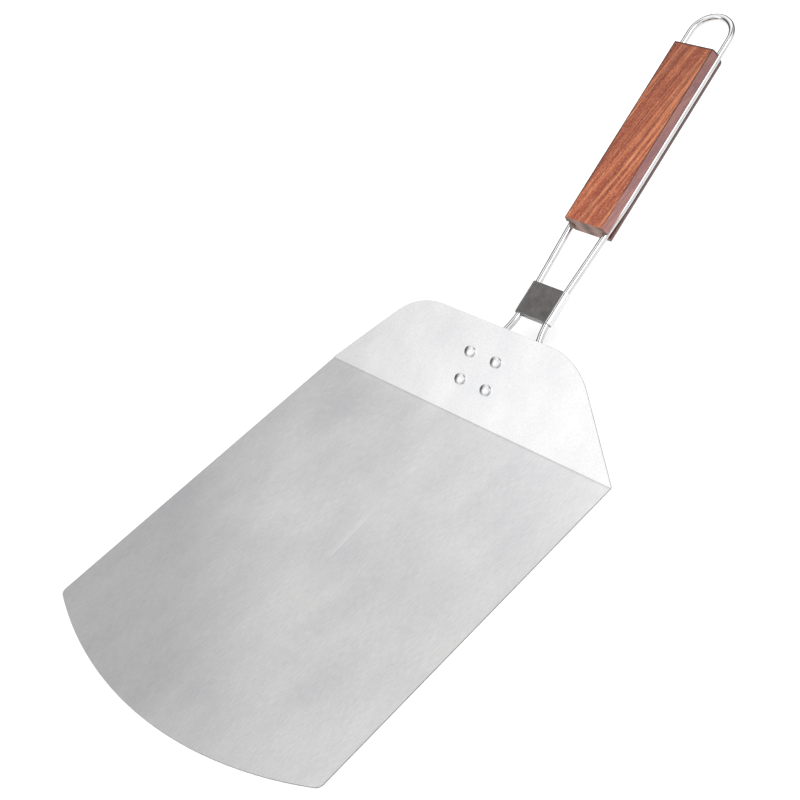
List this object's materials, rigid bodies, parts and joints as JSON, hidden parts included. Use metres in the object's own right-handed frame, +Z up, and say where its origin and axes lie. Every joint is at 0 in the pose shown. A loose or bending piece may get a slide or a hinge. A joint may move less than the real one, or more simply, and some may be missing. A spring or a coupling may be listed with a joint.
{
  "type": "folding pizza peel",
  "caption": "Wide flat steel peel with curved front edge, turned-up riveted tail, folding bent-wire handle, sliding lock collar, wooden grip and hanging loop.",
  "frame": {"origin": "middle of the blade's flat underside: half-way between the bend and the tip of the front edge", "axes": "+X across the blade, +Y from the blade's front edge towards the handle, +Z up; blade underside on z = 0"},
  "size_m": [0.305, 0.7249, 0.147],
  "materials": {
    "blade_steel": "fine satin, grain along the length",
    "bracket_steel": "satin sheet",
    "rivet_steel": "polished dome",
    "wire_steel": "bright drawn wire",
    "collar_steel": "polished sleeve",
    "grip_wood": "reddish hardwood, oiled"
  },
  "bodies": {
    "peel": {"blade": "blade_steel", "hinge_bracket": "bracket_steel", "rivet_front_left": "rivet_steel", "rivet_front_right": "rivet_steel", "rivet_rear_left": "rivet_steel", "rivet_rear_right": "rivet_steel"},
    "handle": {"handle_wire": "wire_steel", "grip": "grip_wood"},
    "collar": {"lock_collar": "collar_steel"}
  },
  "joints": [
    {"name": "handle_hinge", "type": "hinge", "parent": "peel", "child": "handle", "pos_m": [0, 0.2177, 0.0072], "axis": [-1, 0, 0], "range_deg": [0, 188]},
    {"name": "collar_slide", "type": "slide", "parent": "handle", "child": "collar", "axis": [0, 0.9252, 0.3795], "range_m": [-0.005, 0.007]}
  ]
}
